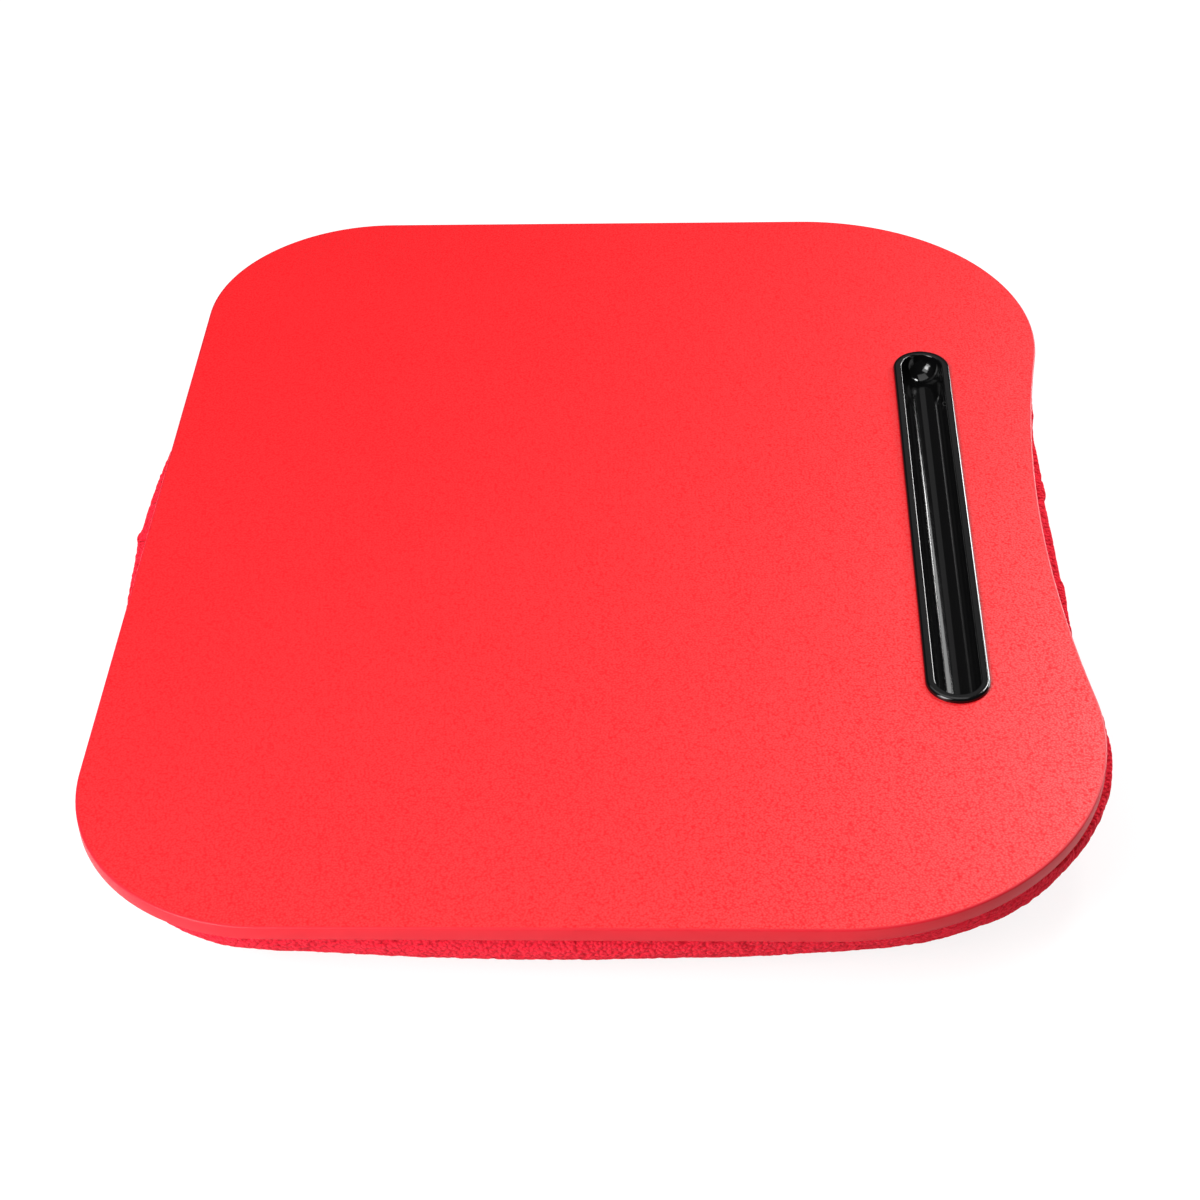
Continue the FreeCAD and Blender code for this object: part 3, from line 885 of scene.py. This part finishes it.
def threadMaterial():
    material, tree = newMaterial("seamThread")
    place = objectPlace(tree)
    lay = noiseHeight(tree, place, seam["lay"])
    principled(tree, {
        "Base Color": colourMix(tree, lay, seam["threadColour"], panel["shade"]),
        "Roughness": seam["roughness"] + seam["layRoughness"] * lay,
        "Normal": bump(tree, lay, seam["layDepth"]),
    })
    return material


def loopPlaces(bm):  # the loop's points in order
    edge = next(iter(bm.edges))
    first = vert = edge.verts[0]
    places = []
    while not places or vert is not first:
        places.append(vert.co.copy())
        vert = edge.other_vert(vert)
        edge = next(other for other in vert.link_edges if other is not edge)
    return places


def alongLoop(places, step):  # evenly spaced points of a closed loop, each with its direction
    runs = [(start, end - start) for start, end in zip(places, places[1:] + places[:1])]
    total = sum(run.length for _, run in runs)
    count = round(total / step)
    found = []
    walked = 0
    for start, run in runs:
        while len(found) < count and len(found) * total / count < walked + run.length:
            share = (len(found) * total / count - walked) / run.length
            found.append((start + share * run, run.normalized()))
        walked += run.length
    return found


def addStitch(bm, place, direction):
    stitch = bmesh.ops.create_icosphere(bm, subdivisions=1, radius=0.5)["verts"]
    bmesh.ops.scale(bm, verts=stitch, vec=(seam["stitchLength"], seam["thread"], seam["thread"]))
    bmesh.ops.rotate(bm, verts=stitch, cent=(0, 0, 0), matrix=direction.to_track_quat("X", "Z").to_matrix())
    bmesh.ops.translate(bm, verts=stitch, vec=place)


def makeWelt(places):
    line = bpy.data.curves.new("weltLine", "CURVE")
    line.dimensions = "3D"
    line.bevel_depth = seam["welt"]
    line.bevel_resolution = seam["weltSteps"]
    spline = line.splines.new("POLY")
    spline.points.add(len(places) - 1)
    for point, place in zip(spline.points, places):
        wave = seam["weltWave"] * seam["welt"] * noise.noise(place / seam["stitchStep"])
        point.co = (place.x, place.y, panelHigh.z - seam["weltSink"] * seam["welt"] + wave, 1)
    spline.use_cyclic_u = True
    holder = bpy.data.objects.new("weltLine", line)
    bpy.context.collection.objects.link(holder)
    graph = bpy.context.evaluated_depsgraph_get()
    tube = bpy.data.meshes.new_from_object(holder.evaluated_get(graph))
    bpy.data.objects.remove(holder)
    bm = bmesh.new()
    bm.from_mesh(tube)
    newPiece("seamWelt", bm, fleeceMaterial(), "cushion", seam["smoothBelow"])


def makeStitches(places):
    bm = bmesh.new()
    inner = 1 - seam["inset"] / panelHigh.y
    for place, direction in alongLoop(places, seam["stitchStep"]):
        spot = Vector((place.x * inner, place.y * inner, panelHigh.z + seam["stitchLift"]))
        addStitch(bm, spot, direction)
    halfLength = tape["length"] / 2 - tape["edgeGap"] / 2
    halfWidth = tape["width"] / 2 - tape["edgeGap"] / 2
    for x, y in tapePlaces:
        corners = [Vector((x + sideX * halfLength, y + sideY * halfWidth, loopLow.z + tape["ground"]))
                   for sideX, sideY in ((-1, -1), (1, -1), (1, 1), (-1, 1))]
        for place, direction in alongLoop(corners, seam["stitchStep"]):
            addStitch(bm, place, direction)
    newPiece("seamStitches", bm, threadMaterial(), "cushion", seam["smoothBelow"])


seamLoop = panelLoop()
seamLoop.transform(askew())
seamPlaces = loopPlaces(seamLoop)
seamLoop.free()
makeWelt(seamPlaces)
makeStitches(seamPlaces)
print("seam made")

# Hook and loop tapes: square wires that rise from the ground cloth and bend over
loops = {
    "step": 1.6 * mm,
    "wire": 0.2 * mm,
    "bend": 0.45 * mm,
    "turn": 170,  # degrees
    "wobble": math.pi,
    "seed": 5,
    "side": 1,  # they stand up
}
hooks = {
    "step": 2.0 * mm,
    "wire": 0.24 * mm,
    "bend": 0.28 * mm,
    "turn": 200,  # degrees
    "wobble": 0.15,
    "seed": 7,
    "side": -1,  # they hang down
}


def tapeGround(bm, low, high):
    for x, y in tapePlaces:
        slab = bmesh.ops.create_cube(bm, size=1)["verts"]
        bmesh.ops.scale(bm, verts=slab, vec=(tape["length"], tape["width"], high - low))
        bmesh.ops.translate(bm, verts=slab, vec=(x, y, (low + high) / 2))
        edges = dict.fromkeys(edge for vert in slab for edge in vert.link_edges)
        posts = [edge for edge in edges if edge.verts[0].co.xy == edge.verts[1].co.xy]
        roundEdges(bm, posts, tape["corner"], tape["cornerSteps"])


def makeStrand(strands, room):
    bm = bmesh.new()
    rise = room - strands["bend"] - strands["wire"]
    start = bmesh.ops.create_grid(bm, x_segments=1, y_segments=1, size=strands["wire"] / 2)["verts"]
    made = bmesh.ops.extrude_face_region(bm, geom=[start[0].link_faces[0]])
    verts = newest(made, bmesh.types.BMVert)
    bmesh.ops.translate(bm, verts=verts, vec=up * rise)
    tip = newest(made, bmesh.types.BMFace)
    edges = dict.fromkeys(edge for face in tip for edge in face.edges)
    bmesh.ops.spin(bm, geom=[*tip, *verts, *edges], cent=(strands["bend"], 0, rise), axis=(0, 1, 0),
                   angle=math.radians(strands["turn"]), steps=tape["bendSteps"])
    bmesh.ops.recalc_face_normals(bm, faces=bm.faces)
    unit = bpy.data.meshes.new("strand")
    bm.to_mesh(unit)
    bm.free()
    return unit


def scatter(unit, strands):
    # copies of one strand over one tape, each turned a little its own way
    generator = random.Random(strands["seed"])
    wobble = strands["wobble"]
    bm = bmesh.new()
    length = tape["length"] - 2 * tape["edgeGap"]
    width = tape["width"] - 2 * tape["edgeGap"]
    columns = int(length / strands["step"]) + 1
    rows = int(width / strands["step"]) + 1
    for column in range(columns):
        for row in range(rows):
            before = len(bm.verts)
            bm.from_mesh(unit)
            bm.verts.ensure_lookup_table()
            verts = bm.verts[before:]
            turn = Matrix.Rotation(generator.uniform(-wobble, wobble) + math.pi * (row % 2), 3, "Z")
            bmesh.ops.rotate(bm, verts=verts, cent=(0, 0, 0), matrix=turn)
            size = generator.uniform(tape["smallest"], 1.0)
            bmesh.ops.scale(bm, verts=verts, vec=(size, size, strands["side"] * size))
            place = ((column / (columns - 1) - 0.5) * length, (row / (rows - 1) - 0.5) * width, 0)
            bmesh.ops.translate(bm, verts=verts, vec=place)
    bmesh.ops.recalc_face_normals(bm, faces=bm.faces)
    patch = bpy.data.meshes.new("patch")
    bm.to_mesh(patch)
    bm.free()
    return patch


def makeTape(name, node, body, strands):
    low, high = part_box(node)
    patch = scatter(makeStrand(strands, high.z - low.z - tape["ground"]), strands)
    base = high.z if strands["side"] < 0 else low.z
    face = base + strands["side"] * tape["ground"]
    bm = bmesh.new()
    for x, y in tapePlaces:
        before = len(bm.verts)
        bm.from_mesh(patch)
        bm.verts.ensure_lookup_table()
        bmesh.ops.translate(bm, verts=bm.verts[before:], vec=(x, y, face))
    tapeGround(bm, min(base, face), max(base, face))
    print(name, "faces", len(bm.faces))
    piece = newPiece(name, bm, clothMaterial(name + "Cloth", tape), body)
    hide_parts(node)


makeTape("loopTapes", "loop_tapes", "cushion", loops)
makeTape("hookTapes", "hook_tapes", "tray", hooks)
print("tapes made")

# Studio: floor, lights and the camera at the photograph's place
studio = {
    "floorSize": 8.0,
    "floorColour": (0.74, 0.74, 0.74, 1),
    "seenColour": (0.22, 0.22, 0.22, 1),  # share of the floor's own light and shade that the camera sees
    "glowColour": (0.86, 0.86, 0.86, 1),
    "glowStart": 0.7,  # where the floor begins to clear to white
    "glowRun": 1.2,
    "worldLevel": 0.04,
    "white": (1, 1, 1, 1),
}
lamps = {
    "overhead": {"place": (0.4, 0.1, 1.5), "aim": (0, 0, 0), "size": 1.2, "power": 6},
    "frontTop": {"place": (-0.74, 0.68, 1.2), "aim": (0, 0, 0), "size": 0.9, "power": 8.5},
    "frontLeft": {"place": (-0.78, 0.7, 0.85), "aim": (0, 0, 0.04), "size": 0.5, "power": 10},
    "lowLeft": {"place": (-0.68, 0.74, 0.3), "aim": (0, 0, 0.04), "size": 0.5, "power": 4.7},
    "rearRight": {"place": (0.94, -0.866, 0.829), "aim": (0, -0.14, 0), "size": 0.46, "power": 2.6},
    "lowRight": {"place": (1.22, -1.1, 0.45), "aim": (0, -0.14, 0), "size": 0.4, "power": 11},
    "sideRight": {"place": (0.7, -1.2, 0.3), "aim": (0, -0.15, 0.03), "size": 0.5, "power": 6},
    "sheen": {"place": (0.895, -0.67, 1.1), "aim": (-0.08, -0.22, 0), "size": 0.3, "power": 6.8},
    "rear": {"place": (1.54, -0.2, 1.3), "aim": (0, 0, 0), "size": 0.6, "power": 0.27},
}
view = {
    "place": (-0.83645, -0.04757, 0.68972),
    "heading": -86.609,  # degrees, as the next two
    "tilt": 50.611,
    "roll": -2.249,
    "lens": 74.184,
    "sensor": 36,
}


def makeFloor():
    material, tree = newMaterial("paleFloor")
    plain = tree.node("ShaderNodeBsdfDiffuse", {}, {"Color": studio["floorColour"]})
    away = tree.node("ShaderNodeVectorMath", {"operation": "LENGTH"}, {0: objectPlace(tree)}, "Value")
    clear = ((away - studio["glowStart"]) * (1 / studio["glowRun"])).clamped()
    level = colourMix(tree, clear, studio["glowColour"], studio["white"])
    glow = tree.node("ShaderNodeEmission", {}, {"Color": level, "Strength": 1.0})
    shaded = tree.node("ShaderNodeBsdfDiffuse", {}, {"Color": studio["seenColour"]})
    lifted = tree.node("ShaderNodeAddShader", {}, {0: shaded, 1: glow})
    camera = tree.node("ShaderNodeLightPath", {}, {}, "Is Camera Ray")
    surface(tree, tree.node("ShaderNodeMixShader", {}, {0: camera, 1: plain, 2: lifted}))
    bm = bmesh.new()
    bmesh.ops.create_grid(bm, x_segments=1, y_segments=1, size=studio["floorSize"] / 2)
    mesh = bpy.data.meshes.new("floor")
    bm.to_mesh(mesh)
    bm.free()
    mesh.materials.append(material)
    floor = bpy.data.objects.new("floor", mesh)
    bpy.context.collection.objects.link(floor)


def makeWorld():
    world = bpy.data.worlds.new("studioWorld")
    world.use_nodes = True
    world.node_tree.nodes.clear()
    tree = Wire(world.node_tree)
    dim = {"Color": studio["white"], "Strength": studio["worldLevel"]}
    ambient = tree.node("ShaderNodeBackground", {}, dim)
    backdrop = tree.node("ShaderNodeBackground", {}, {"Color": studio["white"], "Strength": 1.0})
    camera = tree.node("ShaderNodeLightPath", {}, {}, "Is Camera Ray")
    shader = tree.node("ShaderNodeMixShader", {}, {0: camera, 1: ambient, 2: backdrop})
    output = world.node_tree.nodes.new("ShaderNodeOutputWorld")
    world.node_tree.links.new(shader.socket, output.inputs["Surface"])
    bpy.context.scene.world = world


def makeLamps():
    for name, lamp in lamps.items():
        light = bpy.data.lights.new(name, "AREA")
        light.shape = "SQUARE"
        light.size = lamp["size"]
        light.energy = lamp["power"]
        holder = bpy.data.objects.new(name, light)
        holder.location = lamp["place"]
        away = Vector(lamp["place"]) - Vector(lamp["aim"])
        holder.rotation_euler = away.to_track_quat("Z", "Y").to_euler()
        bpy.context.collection.objects.link(holder)


def makeCamera():
    camera = bpy.data.cameras.new("photoView")
    camera.sensor_width = view["sensor"]
    camera.lens = view["lens"]
    holder = bpy.data.objects.new("photoView", camera)
    heading = Matrix.Rotation(math.radians(view["heading"]), 4, "Z")
    tilt = Matrix.Rotation(math.radians(view["tilt"]), 4, "X")
    roll = Matrix.Rotation(math.radians(view["roll"]), 4, "Z")
    holder.matrix_world = Matrix.Translation(view["place"]) @ heading @ tilt @ roll
    bpy.context.collection.objects.link(holder)
    bpy.context.scene.camera = holder


makeFloor()
makeWorld()
makeLamps()
makeCamera()
bpy.context.scene.view_settings.view_transform = "Standard"
print("studio made")
